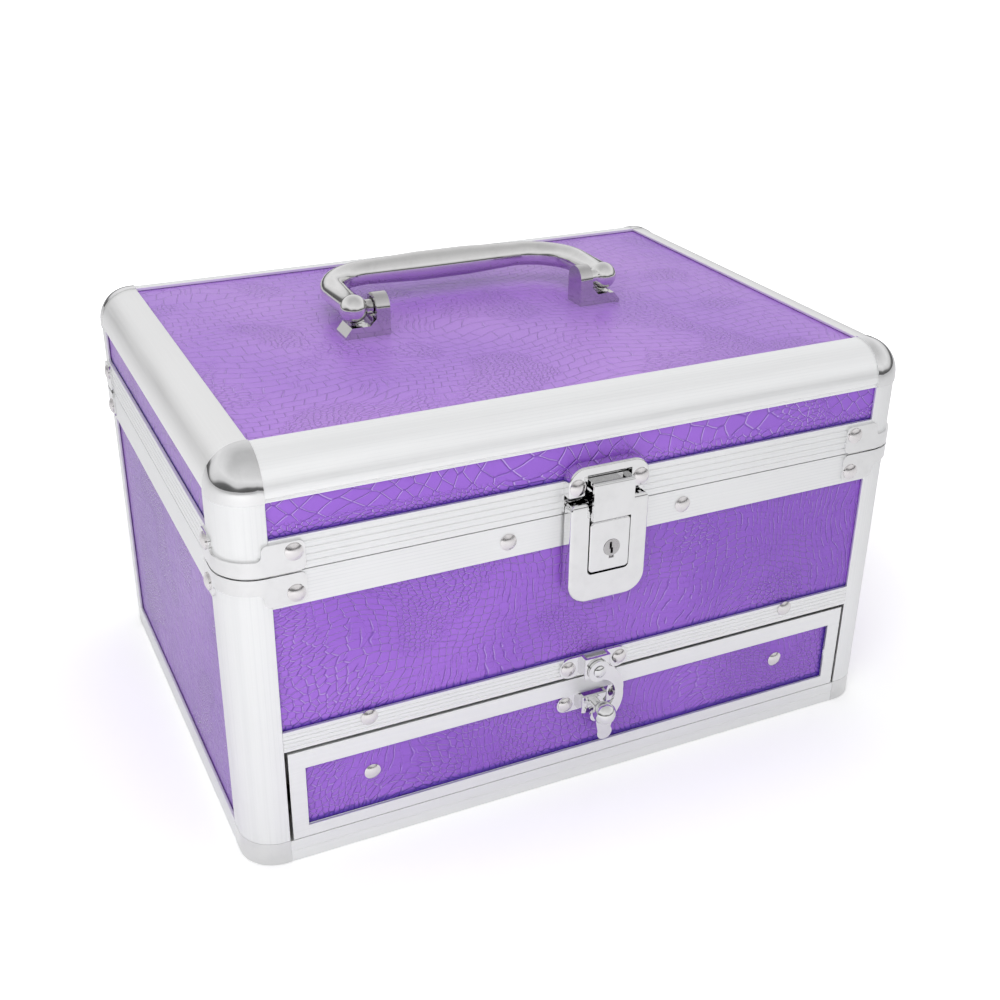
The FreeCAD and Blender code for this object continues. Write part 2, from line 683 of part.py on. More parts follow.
# ----------------------------------------------------------------------- lid
def make_lid():
    names = ("front", "rear", "left", "right")
    for name, edge in zip(names, lid_edge()):
        save(f"lid_edge_{name}", edge)
    corner_post = post(LID_BOTTOM, LID_EDGE_Z, LID_BOTTOM)
    save("lid_corner_posts", *four_corners(corner_post))
    save("lid_ball_corners", *four_corners(ball_corner()))
    z0 = LID_BOTTOM + TONGUE_H + TONGUE_PLAY + SKIN
    z1 = HEIGHT - PANEL_EDGE
    for name, board in zip(names, wall_boards(z0, z0, z1)):
        save(f"lid_panel_{name}", board)
    save("lid_panel_top", box(X0 + PANEL_EDGE, -X0 - PANEL_EDGE, Y0 + PANEL_EDGE, -Y0 - PANEL_EDGE,
                              TOP_FACE_Z - BOARD, TOP_FACE_Z))
    lid_section = lambda place: rim(place, LID_BOTTOM, True)
    spots = spaced(LID_BOTTOM, LID_BOTTOM + RIM_HEIGHT, RIM_GROOVE_COUNT)
    save("lid_rim", *four_rails(lid_section, spots))
    roof = TOP_FACE_Z - BOARD - SKIN
    save("lid_lining", *liner_box(roof, z0, roof - PAD_T))
    bottom = SEAM_Z + CLASP_EDGE_GAP
    save("lid_corner_clasps", *four_corners(clasp(bottom, 1)))
    strike_heads = [dome(RIVET_R, RIVET_H, V(LOCK_X + side * STRIKE_RIVET_X, Y0 - STRIKE_RISE, STRIKE_RIVET_Z),
                         V(0, -1, 0)) for side in (-1, 1)]
    save("lid_rivets", *clasp_rivets(bottom, 1), *strike_heads, *hinge_rivets(1))


# -------------------------------------------------------------------- hinges
def hinge_leaf(centre_x, lid):
    """One leaf of a rear hinge with its share of the knuckles."""
    step = HINGE_LEN / HINGE_KNUCKLES
    x0 = centre_x - HINGE_LEN / 2
    y0, y1 = DEPTH / 2, DEPTH / 2 + HINGE_LEAF_T
    near, far = SEAM_Z + HINGE_NOTCH, SEAM_Z + HINGE_NOTCH + HINGE_LEAF_H
    if not lid:
        near, far = SEAM_Z - HINGE_NOTCH, SEAM_Z - HINGE_NOTCH - HINGE_LEAF_H
    pieces = [rounded_leaf(x0, y0, y1, near, far)]
    for i in range(HINGE_KNUCKLES):
        if (i % 2 == 1) != lid:
            continue
        a = x0 + i * step + HINGE_SIDE_PLAY
        b = x0 + (i + 1) * step - HINGE_SIDE_PLAY
        low, high = sorted((near, SEAM_Z))
        pieces.append(rod(V(a, HINGE_Y, SEAM_Z), V(1, 0, 0), HINGE_R, b - a))
        pieces.append(box(a, b, y0, y1, low, high))
    leaf = fuse(*pieces)
    return leaf.cut(rod(V(x0 - 1, HINGE_Y, SEAM_Z), V(1, 0, 0), HINGE_PIN_R + HINGE_PLAY, HINGE_LEN + 2))


def rounded_leaf(x0, y0, y1, near, far):
    low, high = sorted((near, far))
    r = HINGE_LEAF_H / 4
    radii = (0, 0, r, r) if far > near else (r, r, 0, 0)
    face = rounded(lambda a, b: V(a, y0, b), x0, x0 + HINGE_LEN, low, high, radii)
    return face.extrude(V(0, y1 - y0, 0))


def make_hinges():
    for name, lid in (("hinge_leaves_body", False), ("hinge_leaves_lid", True)):
        save(name, hinge_leaf(-HINGE_X, lid), hinge_leaf(HINGE_X, lid))
    pins = [rod(V(side * HINGE_X - HINGE_LEN / 2, HINGE_Y, SEAM_Z), V(1, 0, 0), HINGE_PIN_R, HINGE_LEN)
            for side in (-1, 1)]
    save("hinge_pins", *pins)


def hinge_rivets(up):
    """Rivet heads of both hinges, on the lid leaves (up = 1) or on the body leaves (up = -1)."""
    y = DEPTH / 2 + HINGE_LEAF_T
    z = SEAM_Z + up * HINGE_RIVET_Z
    return [dome(SMALL_RIVET_R, SMALL_RIVET_H, V(side * HINGE_X + shift, y, z), V(0, 1, 0))
            for side in (-1, 1) for shift in (-HINGE_RIVET_X, 0, HINGE_RIVET_X)]


# -------------------------------------------------------------------- handle
def handle_bracket():
    """Right hand bracket: an upright ear and a bolted foot that runs under the handle end."""
    z = TOP_FACE_Z
    r = EAR_DEPTH / 2
    y0 = HANDLE_Y - r
    x1 = EAR_X0 + EAR_T
    x2 = x1 + FOOT_LEN
    c = FOOT_CHAMFER
    place = lambda a, b: V(a, y0, b)
    face = outline(place, (EAR_X0, z), (x2, z), (x2, z + FOOT_TIP), (x2 - c, z + FOOT_T), (x1 + c, z + FOOT_T),
                   (x1, z + FOOT_T + c), (x1, PIN_Z + r), (EAR_X0, PIN_Z + r))
    side = lambda a, b: V(EAR_X0, a, b)
    arch = outline(side, (HANDLE_Y - r, z), (HANDLE_Y + r, z), (HANDLE_Y + r, PIN_Z),
                   (HANDLE_Y, PIN_Z + r, HANDLE_Y - r, PIN_Z))
    body = face.extrude(V(0, EAR_DEPTH, 0)).common(arch.extrude(V(EAR_T + FOOT_LEN, 0, 0)))
    bolt_x = x1 + FOOT_LEN / 2
    up = V(0, 0, 1)
    hole = rod(V(bolt_x, HANDLE_Y, z), up, BOLT_R, FOOT_T)
    seat = Part.makeCone(BOLT_R, SEAT_R, SEAT_DEPTH, V(bolt_x, HANDLE_Y, z + FOOT_T - SEAT_DEPTH))
    recess = rod(V(x1 - EAR_RECESS, HANDLE_Y, PIN_Z), V(1, 0, 0), EAR_RECESS_R, EAR_RECESS)
    return body.cut(fuse(hole, seat)).cut(recess)


def handle_bolt():
    """Countersunk bolt of the bracket foot, with a cross slot."""
    x = EAR_X0 + EAR_T + FOOT_LEN / 2
    z = TOP_FACE_Z
    neck = BOLT_R - BOLT_PLAY
    head_h = SEAT_DEPTH * (BOLT_HEAD_R - neck) / (SEAT_R - BOLT_R)
    z_head = z + FOOT_T - SEAT_DEPTH
    shank = rod(V(x, HANDLE_Y, z), V(0, 0, 1), neck, FOOT_T - SEAT_DEPTH)
    head = Part.makeCone(neck, BOLT_HEAD_R, head_h, V(x, HANDLE_Y, z_head))
    bolt = fuse(shank, head)
    half_l, half_w = BOLT_SLOT_L / 2, BOLT_SLOT_W / 2
    top = z_head + head_h
    slot = box(x - half_l, x + half_l, HANDLE_Y - half_w, HANDLE_Y + half_w, top - BOLT_SLOT_D, top)
    cross = box(x - half_w, x + half_w, HANDLE_Y - half_l, HANDLE_Y + half_l, top - BOLT_SLOT_D, top)
    return bolt.cut(fuse(slot, cross))


def handle_grip():
    """One cast bow: two arms with ball ends, joined by a grip that swells to its middle."""
    straight = HANDLE_Y + ARM_STRAIGHT
    bend = HANDLE_BEND
    far = straight + bend
    arm = rod(V(-HANDLE_X, HANDLE_Y, PIN_Z), V(0, 1, 0), ARM_R, ARM_STRAIGHT)
    ring = Part.Wire(Part.Circle(V(-HANDLE_X, straight, PIN_Z), V(0, 1, 0), ARM_R).toShape())
    elbow = Part.Face(ring).revolve(V(bend - HANDLE_X, straight, PIN_Z), V(0, 0, 1), -90)
    half = HANDLE_X - bend
    side = outline(lambda a, b: V(a, far + b, PIN_Z), (-half, 0), (half, 0), (half, ARM_R),
                   (0, GRIP_R, -half, ARM_R))
    grip = side.revolve(V(0, far, PIN_Z), V(1, 0, 0), 360)
    neck_x = EAR_X0 + EAR_T + LUG_GAP
    shapes = [elbow, mirror_x(arm), mirror_x(elbow), grip]
    bores = []
    for side in (-1, 1):
        axis = V(side, 0, 0)
        shapes.append(Part.makeSphere(LUG_R, V(side * HANDLE_X, HANDLE_Y, PIN_Z)))
        shapes.append(rod(V(side * neck_x, HANDLE_Y, PIN_Z), axis, LUG_NECK_R, HANDLE_X - neck_x))
        bores.append(rod(V(side * neck_x, HANDLE_Y, PIN_Z), axis, PIN_R + PIN_PLAY, PIN_BORE))
    return fuse(arm, *shapes).cut(Part.makeCompound(bores))


def make_handle():
    bracket = handle_bracket()
    save("handle_bracket_right", bracket)
    save("handle_bracket_left", mirror_x(bracket))
    save("handle_bolts", handle_bolt(), mirror_x(handle_bolt()))
    start = EAR_X0 + EAR_T - EAR_RECESS
    length = EAR_RECESS + LUG_GAP + PIN_BORE - PIN_END_PLAY
    pin = rod(V(start, HANDLE_Y, PIN_Z), V(1, 0, 0), PIN_R, length)
    save("handle_pins", pin, mirror_x(pin))
    save("handle_grip", handle_grip())


# ------------------------------------------------------------------ key lock
def make_strike():
    """Drawn plate on the lid: a thin foot at the seam, a raised top and a lip for the claw."""
    x0, x1 = LOCK_X - STRIKE_W / 2, LOCK_X + STRIKE_W / 2
    out = V(0, -STRIKE_T, 0)
    corners = (STRIKE_FOOT_R, STRIKE_FOOT_R, STRIKE_R, STRIKE_R)
    thin = rounded(lock_front(0), x0, x1, STRIKE_BOTTOM, STRIKE_TOP, corners)
    raised = rounded(lock_front(0), x0, x1, STRIKE_STEP_Z, STRIKE_TOP, corners)
    cup = raised.extrude(V(0, -STRIKE_RISE, 0))
    front_edges = [e for e in cup.Edges if abs(e.BoundBox.YMax - (Y0 - STRIKE_RISE)) < 1e-6]
    cup = cup.makeFillet(STRIKE_SOFT, front_edges)
    pocket = box(LOCK_X - POCKET_W / 2, LOCK_X + POCKET_W / 2, Y0 - STRIKE_RISE - 1, Y0 - POCKET_S,
                 STRIKE_STEP_Z - 1, STRIKE_TOP - POCKET_MARGIN)
    plate = fuse(thin.extrude(out), cup.cut(pocket))
    side = lock_side(LOCK_X - LIP_W / 2)
    s0, s1 = LIP_S, LIP_S + LIP_T
    lip = outline(side, (0, LIP_ROOT), (s1 - 1, LIP_ROOT), (s1 - 0.3, LIP_ROOT + 0.3, s1, LIP_ROOT + 1),
                  (s1, LIP_TOP), (s0, LIP_TOP), (s0, LIP_ROOT + LIP_T), (0, LIP_ROOT + LIP_T))
    return fuse(plate, lip.extrude(V(LIP_W, 0, 0)))


def make_lock_base():
    """Plate on the case with two ears for the lever pivots."""
    x0, x1 = LOCK_X - BASE_W / 2, LOCK_X + BASE_W / 2
    plate = rounded(lock_front(0), x0, x1, BASE_BOTTOM, BODY_TOP, (BASE_R, BASE_R, 1, 1))
    base = plate.extrude(V(0, -BASE_T, 0))
    ears = []
    for x in ear_places():
        side = lock_side(x)
        r = LEVER_S1 - LEVER_WALL - LEVER_PIVOT_S - EAR_PLAY
        z = LEVER_PIVOT_Z
        s = LEVER_PIVOT_S
        ear = outline(side, (0, LOCK_EAR_LOW), (s, LOCK_EAR_LOW + s), (s + r, z), (s, z + r, s - r, z),
                      (s - r, BODY_TOP), (0, BODY_TOP)).extrude(V(LOCK_EAR_T, 0, 0))
        ears.append(ear)
    return fuse(base, *ears)


def ear_places():
    """Low X face of the left and the right ear, inside the hollow arms of the lever."""
    inner = LOCK_W / 2 - LEVER_WALL - EAR_IN
    return (LOCK_X - inner, LOCK_X + inner - LOCK_EAR_T)


def make_lever():
    """U shaped lift lever, hollow behind, with a window for the lock housing and the claw."""
    x0, x1 = LOCK_X - LOCK_W / 2, LOCK_X + LOCK_W / 2
    w0, w1 = LOCK_X - WINDOW_W / 2, LOCK_X + WINDOW_W / 2
    top = LEVER_PIVOT_Z + LEVER_TOP_R
    depth = V(0, -(LEVER_S1 - LEVER_S0), 0)
    corners = (LEVER_R, LEVER_R, LEVER_TOP_CORNER, LEVER_TOP_CORNER)
    shape = rounded(lock_front(LEVER_S0), x0, x1, LEVER_BOTTOM, top, corners).extrude(depth)
    rim_edges = [e for e in shape.Edges if abs(e.BoundBox.YMax - (Y0 - LEVER_S1)) < 1e-6]
    shape = shape.makeFillet(LEVER_SOFT, rim_edges)
    t = LEVER_WALL
    inner_r = LEVER_R - t
    over = top + t
    through = V(0, -LEVER_S1 - t, 0)
    window = rounded(lock_front(0), w0, w1, WINDOW_BOTTOM, over, (WINDOW_R, WINDOW_R, 0, 0)).extrude(through)
    cavity = rounded(lock_front(0), x0 + t, x1 - t, LEVER_BOTTOM + t, over, (inner_r, inner_r, 0, 0))
    cavity = cavity.extrude(V(0, -(LEVER_S1 - t), 0))
    wall_r = WINDOW_R + t
    wall = rounded(lock_front(0), w0 - t, w1 + t, WINDOW_BOTTOM - t, over, (wall_r, wall_r, 0, 0))
    wall = wall.extrude(through)
    lever = shape.cut(cavity.cut(wall)).cut(window)
    lever = lever.common(lever_side(x0 - 1, x1 - x0 + 2))
    bores = [(x0 + PIN_BLIND, PIVOT_R, LEVER_PIVOT_S, LEVER_PIVOT_Z), (x0 + t, CLAW_PIN_R, CLAW_B_S, CLAW_B_Z)]
    for start, radius, s, z in bores:
        lever = lever.cut(rod(V(start, Y0 - s, z), V(1, 0, 0), radius + PIVOT_PLAY, 2 * (LOCK_X - start)))
    return lever


def lever_side(x, length):
    """Side profile that rounds the top of the lever about its pivot."""
    s, z, r = LEVER_PIVOT_S, LEVER_PIVOT_Z, LEVER_TOP_R
    side = lock_side(x)
    k = r * math.sqrt(0.5)
    face = outline(side, (LEVER_S0, LEVER_BOTTOM - 1), (LEVER_S1, LEVER_BOTTOM - 1), (LEVER_S1, z - 2),
                   (s + r, z), (s + k, z + k, s, z + r), (s - k, z + k, s - r, z), (LEVER_S0, z - 1))
    return face.extrude(V(length, 0, 0))


def make_claw():
    """Hook on the lever: a front plate, a curl over the lip of the strike and an eye for its pin."""
    s1, s0 = CLAW_S, CLAW_S - CLAW_T
    top = LIP_TOP + CLAW_SEAT + CLAW_TOP_T
    under = LIP_TOP + CLAW_SEAT
    tip = CLAW_TIP_S
    b, z, r = CLAW_B_S, CLAW_B_Z, CLAW_EYE_R
    c = CLAW_R
    k = c * (1 - math.sqrt(0.5))
    x0 = LOCK_X - CLAW_W / 2
    side = lock_side(x0)
    face = outline(side, (s1, CLAW_BOTTOM), (s1, top - c), (s1 - k, top - k, s1 - c, top), (tip + c, top),
                   (tip + k, top - k, tip, top - c), (tip, CLAW_TIP_Z), (tip + CLAW_R, CLAW_TIP_Z),
                   (tip + CLAW_R, under), (s0, under), (s0, z + r), (b, z + r), (b, z), (s0, CLAW_BOTTOM))
    eye = rod(V(x0, Y0 - b, z), V(1, 0, 0), r, CLAW_W)
    claw = fuse(face.extrude(V(CLAW_W, 0, 0)), eye)
    bore = rod(V(x0 - 1, Y0 - b, z), V(1, 0, 0), CLAW_PIN_R + PIVOT_PLAY, CLAW_W + 2)
    return claw.cut(bore)


def make_housing():
    """Fixed lock housing in the window of the lever, bored for the key plug."""
    x0, x1 = LOCK_X - HOUSING_W / 2, LOCK_X + HOUSING_W / 2
    r = HOUSING_R
    body = rounded(lock_front(BASE_T), x0, x1, HOUSING_BOTTOM, HOUSING_TOP, (r, r, r, r))
    body = body.extrude(V(0, -(HOUSING_S - BASE_T), 0))
    edges = [e for e in body.Edges if abs(e.BoundBox.YMax - (Y0 - HOUSING_S)) < 1e-6]
    body = body.makeFillet(HOUSING_SOFT, edges)
    start = Y0 - HOUSING_S + KEY_DEPTH
    bore = rod(V(KEY_X, start, KEY_Z), V(0, -1, 0), KEY_R + KEY_PLAY, KEY_DEPTH + 1)
    notch_z = KEY_Z - NOTCH_DROP
    notch = box(KEY_X - NOTCH_W / 2, KEY_X + NOTCH_W / 2, Y0 - HOUSING_S - 1, Y0 - HOUSING_S + NOTCH_D,
                notch_z, notch_z + NOTCH_H)
    return body.cut(bore).cut(notch)


def make_key_plug():
    start = Y0 - HOUSING_S + KEY_DEPTH
    plug = rod(V(KEY_X, start, KEY_Z), V(0, -1, 0), KEY_R, KEY_DEPTH + KEY_PROUD)
    face_y = Y0 - HOUSING_S - KEY_PROUD
    half = KEYWAY_L / 2
    mid = KEYWAY_W / 2
    upper = box(KEY_X - KEYWAY_W, KEY_X, face_y - 1, face_y + KEYWAY_D, KEY_Z - mid, KEY_Z + half)
    lower = box(KEY_X - mid, KEY_X + mid, face_y - 1, face_y + KEYWAY_D, KEY_Z - half, KEY_Z)
    return plug.cut(fuse(upper, lower))


def make_lock():
    save("lock_strike", make_strike())
    save("lock_base", make_lock_base())
    save("lock_lever", make_lever())
    save("lock_housing", make_housing())
    save("key_plug", make_key_plug())
    save("lock_claw", make_claw())
    reach = LOCK_W / 2 - PIN_BLIND - PIVOT_PLAY
    inner = WINDOW_W / 2 + LEVER_WALL / 2
    pivots = [rod(V(LOCK_X + side * inner, Y0 - LEVER_PIVOT_S, LEVER_PIVOT_Z), V(side, 0, 0), PIVOT_R,
                  reach - inner) for side in (-1, 1)]
    ears = make_lock_base()
    save("lever_pivots", *[pivot.cut(ears) for pivot in pivots])
    length = WINDOW_W + 2 * (LEVER_WALL - PIN_BLIND)
    save("claw_pin", rod(V(LOCK_X - length / 2, Y0 - CLAW_B_S, CLAW_B_Z), V(1, 0, 0), CLAW_PIN_R, length))


# --------------------------------------------------------------- drawer hook
def riveted_plate(centre_z, height, s0, bridge_s):
    """A plate with round ends and a folded bridge in its middle."""
    half = BRACKET_W / 2
    r = height / 2 - 0.05
    plate = rounded(lock_front(s0), HOOK_X - half, HOOK_X + half, centre_z - height / 2, centre_z + height / 2,
                    (r, r, r, r)).extrude(V(0, -BRACKET_T, 0))
    z0 = centre_z - height / 2
    z1 = centre_z + height / 2
    x0, x1 = HOOK_X - BRIDGE_W / 2, HOOK_X + BRIDGE_W / 2
    outer = box(x0, x1, Y0 - bridge_s, Y0 - s0, z0, z1)
    corners = [e for e in outer.Edges if abs(e.BoundBox.YMax - (Y0 - bridge_s)) < 1e-6 and e.BoundBox.ZLength > 1]
    outer = outer.makeFillet(BRIDGE_SOFT, corners)
    hollow = box(x0 + BRIDGE_T, x1 - BRIDGE_T, Y0 - bridge_s + BRIDGE_T, Y0 - s0 + 1, z0 - 1, z1 + 1)
    return fuse(plate.cut(box(x0 + BRIDGE_T, x1 - BRIDGE_T, Y0 - s0 - BRACKET_T, Y0 - s0, z0, z1)), outer.cut(hollow))


def hook_outline():
    """Side view of the hook about its pivot: disc, arm, jaw under the post and finger tab."""
    px, pz = HOOK_X, HOOK_PIVOT_Z
    r = HOOK_DISC_R
    jaw = HOOK_CATCH + POST_SHANK_R + POST_SHANK_PLAY
    place = lambda a, b: V(px + a, Y0 - HOOK_S0, pz + b)
    polar = lambda radius, degrees: (radius * math.cos(math.radians(degrees)),
                                     radius * math.sin(math.radians(degrees)))
    tab_x, tab_z = HOOK_TAB_X, -HOOK_TAB_DROP
    tab = lambda degrees: (tab_x + polar(HOOK_TAB_R, degrees)[0], tab_z + polar(HOOK_TAB_R, degrees)[1])
    jaw_low = jaw + HOOK_JAW_T
    throat = HOOK_THROAT_X
    arm = HOOK_ARM_X
    return outline(place, polar(r, -66),
                   polar(r, 180) + polar(r, 20),
                   (0.84 * arm, -3.5, arm, -12.2),
                   (0.98 * arm, -17.8, 0.74 * arm, -23.9),
                   tab(38), tab(-90) + tab(162),
                   polar(jaw_low, -91.5), polar(jaw + HOOK_JAW_T / 2, -98.8) + polar(jaw, -95),
                   polar(jaw, -85) + polar(jaw, -74),
                   (throat, -12.6, 0.56 * throat, -5.7))


def make_hook():
    save("hook_bracket", riveted_plate(BRACKET_Z, BRACKET_H, 0, BRIDGE_S))
    hook = hook_outline().extrude(V(0, -HOOK_T, 0))
    bore = rod(V(HOOK_X, Y0 - HOOK_S0, HOOK_PIVOT_Z), V(0, -1, 0), HOOK_PIN_R + HOOK_PIN_PLAY, HOOK_T)
    save("drawer_hook", hook.cut(bore))
    shank_top = Y0 - HOOK_S1 - HOOK_PLAY
    shank = rod(V(HOOK_X, Y0 - BRIDGE_S, HOOK_PIVOT_Z), V(0, -1, 0), HOOK_PIN_R, HOOK_S1 + HOOK_PLAY - BRIDGE_S)
    head = dome(HOOK_HEAD_R, HOOK_HEAD_H, V(HOOK_X, shank_top, HOOK_PIVOT_Z), V(0, -1, 0))
    save("hook_pivot", fuse(shank, head))


def plate_rivets(y, z):
    """Two rivet heads on the ends of a hook plate."""
    return [dome(PLATE_RIVET_R, RIVET_H, V(HOOK_X + side * END_RIVET_X, y, z), V(0, -1, 0)) for side in (-1, 1)]


def hook_bracket_rivets():
    return plate_rivets(Y0 - BRACKET_T, BRACKET_Z)


def make_keeper():
    """Plate on the drawer with a collared post and a round knob that the hook catches."""
    plate_s = -RECESS
    plate = riveted_plate(KEEPER_Z, KEEPER_H, plate_s, KEEPER_BRIDGE_S)
    save("hook_keeper", plate)
    axis = V(0, -1, 0)
    start = V(HOOK_X, Y0 - KEEPER_BRIDGE_S, POST_Z)
    shank = rod(start, axis, POST_SHANK_R, KNOB_S - KEEPER_BRIDGE_S)
    collar = rod(start, axis, POST_COLLAR_R, POST_COLLAR_T)
    r = KNOB_R
    knob = Part.makeSphere(r, V(HOOK_X, Y0 - KNOB_S, POST_Z))
    knob = knob.common(box(HOOK_X - r, HOOK_X + r, Y0 - KNOB_S - r, Y0 - KNOB_FLAT_S, POST_Z - r, POST_Z + r))
    save("hook_knob", fuse(shank, collar, knob))


# -------------------------------------------------------------------- drawer
def drawer_strips():
    """Four mitred strips round the drawer front, each with a return along its outer edge."""
    x0, x1, z0, z1 = -DRAWER_X, DRAWER_X, DRAWER_Z0, DRAWER_Z1
    a0, a1, b0, b1 = x0 + STRIP_SIDE, x1 - STRIP_SIDE, z0 + STRIP_BOTTOM, z1 - STRIP_TOP
    t = SKIN
    outer = [(x0, z0), (x1, z0), (x1, z1), (x0, z1)]
    inner = [(a0, b0), (a1, b0), (a1, b1), (a0, b1)]
    edge = [(x0 + t, z0 + t), (x1 - t, z0 + t), (x1 - t, z1 - t), (x0 + t, z1 - t)]
    strips = []
    for i in range(4):
        j = (i + 1) % 4
        flat = outline(lock_front(0), outer[i], outer[j], inner[j], inner[i]).extrude(V(0, t, 0))
        back = outline(lock_front(-t), outer[i], outer[j], edge[j], edge[i]).extrude(V(0, STRIP_RETURN - t, 0))
        strips.append(fuse(flat, back))
    return strips


def drawer_board():
    t = SKIN + CHANNEL_PLAY
    return box(-DRAWER_X + t, DRAWER_X - t, Y0 + RECESS, Y0 + PANEL_BACK, DRAWER_Z0 + t, DRAWER_Z1 - t)


def drawer_box():
    """Two sides, an inner front, a back and a bottom."""
    x1, z0, z1 = BOX_X, BOX_Z0, BOX_Z1
    y0, y1 = Y0 + PANEL_BACK, Y0 + PANEL_BACK + BOX_LENGTH
    t = BOX_T
    x2 = x1 - t
    bottom = box(-x2, x2, y0 + t, y1 - t, z0, z0 + BOX_BOTTOM_T)
    return [box(-x1, -x2, y0, y1, z0, z1), box(x2, x1, y0, y1, z0, z1),
            box(-x2, x2, y0, y0 + t, z0, z1), box(-x2, x2, y1 - t, y1, z0, z1), bottom]


def drawer_lining():
    t = BOX_T
    c = BOX_LINER
    x1 = BOX_X - t
    y0, y1 = Y0 + PANEL_BACK + t, Y0 + PANEL_BACK + BOX_LENGTH - t
    z0, z1 = BOX_Z0 + BOX_BOTTOM_T, BOX_Z1 - 2 * c
    return [box(-x1, x1, y0, y1, z0, z0 + c), box(-x1, -x1 + c, y0, y1, z0 + c, z1),
            box(x1 - c, x1, y0, y1, z0 + c, z1), box(-x1 + c, x1 - c, y0, y0 + c, z0 + c, z1),
            box(-x1 + c, x1 - c, y1 - c, y1, z0 + c, z1)]


def make_drawer():
    save("drawer_frame", *drawer_strips())
    save("drawer_panel", drawer_board())
    save("drawer_box", *drawer_box())
    save("drawer_lining", *drawer_lining())
    make_keeper()
    y = Y0 + RECESS
    heads = [dome(RIVET_R, RIVET_H, V(side * DRAWER_RIVET_X, y, DRAWER_RIVET_Z), V(0, -1, 0)) for side in (-1, 1)]
    save("drawer_rivets", *heads, *plate_rivets(y - BRACKET_T, KEEPER_Z))


def main():
    os.makedirs("parts", exist_ok=True)
    make_body()
    make_lid()
    make_hinges()
    make_handle()
    make_lock()
    make_hook()
    make_drawer()


main()
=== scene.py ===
import json
import math

import bmesh
import bpy
from mathutils import Matrix, Vector


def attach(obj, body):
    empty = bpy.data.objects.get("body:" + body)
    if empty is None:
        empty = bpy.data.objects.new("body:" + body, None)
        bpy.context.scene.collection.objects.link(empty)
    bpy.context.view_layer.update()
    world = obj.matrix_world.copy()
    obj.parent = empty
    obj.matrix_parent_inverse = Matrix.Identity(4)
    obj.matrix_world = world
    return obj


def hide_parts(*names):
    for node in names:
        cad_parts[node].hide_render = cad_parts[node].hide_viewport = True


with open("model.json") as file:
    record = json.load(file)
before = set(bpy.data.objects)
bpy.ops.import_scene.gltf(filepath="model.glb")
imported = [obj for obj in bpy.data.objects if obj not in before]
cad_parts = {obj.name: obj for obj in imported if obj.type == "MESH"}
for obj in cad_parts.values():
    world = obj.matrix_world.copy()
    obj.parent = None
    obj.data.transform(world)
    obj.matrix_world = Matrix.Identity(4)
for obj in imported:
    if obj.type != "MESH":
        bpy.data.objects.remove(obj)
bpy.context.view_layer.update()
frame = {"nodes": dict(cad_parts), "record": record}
NODES = dict(frame["nodes"])
BODIES = frame["record"]["behaviour"]["bodies"]
BODY_OF = {node: body for body, members in BODIES.items() for node in members}

MM = 0.001

# -------------------------------------------------------------------- camera
# fitted to the corners of the case, in metres
CAMERA_AT = Vector((-0.2402, -0.5199, 0.3735))
CAMERA_FORWARD = Vector((0.38775, 0.80431, -0.45026)).normalized()
CAMERA_ROLL = math.radians(0.749)
SENSOR = 36.0
FOCAL = 1.32225 * SENSOR


def link(obj):
    bpy.context.scene.collection.objects.link(obj)
    return obj


def make_camera():
    data = bpy.data.cameras.new("camera")
    data.sensor_width = SENSOR
    data.sensor_fit = "HORIZONTAL"
    data.lens = FOCAL
    data.clip_start = 0.01
    camera = link(bpy.data.objects.new("camera", data))
    right = CAMERA_FORWARD.cross(Vector((0, 0, 1))).normalized()
    up = right.cross(CAMERA_FORWARD)
    level = Matrix((right, up, -CAMERA_FORWARD)).transposed()
    turn = level @ Matrix.Rotation(CAMERA_ROLL, 3, "Z")
    camera.matrix_world = Matrix.Translation(CAMERA_AT) @ turn.to_4x4()
    bpy.context.scene.camera = camera


make_camera()
bpy.context.scene.view_settings.view_transform = "Standard"


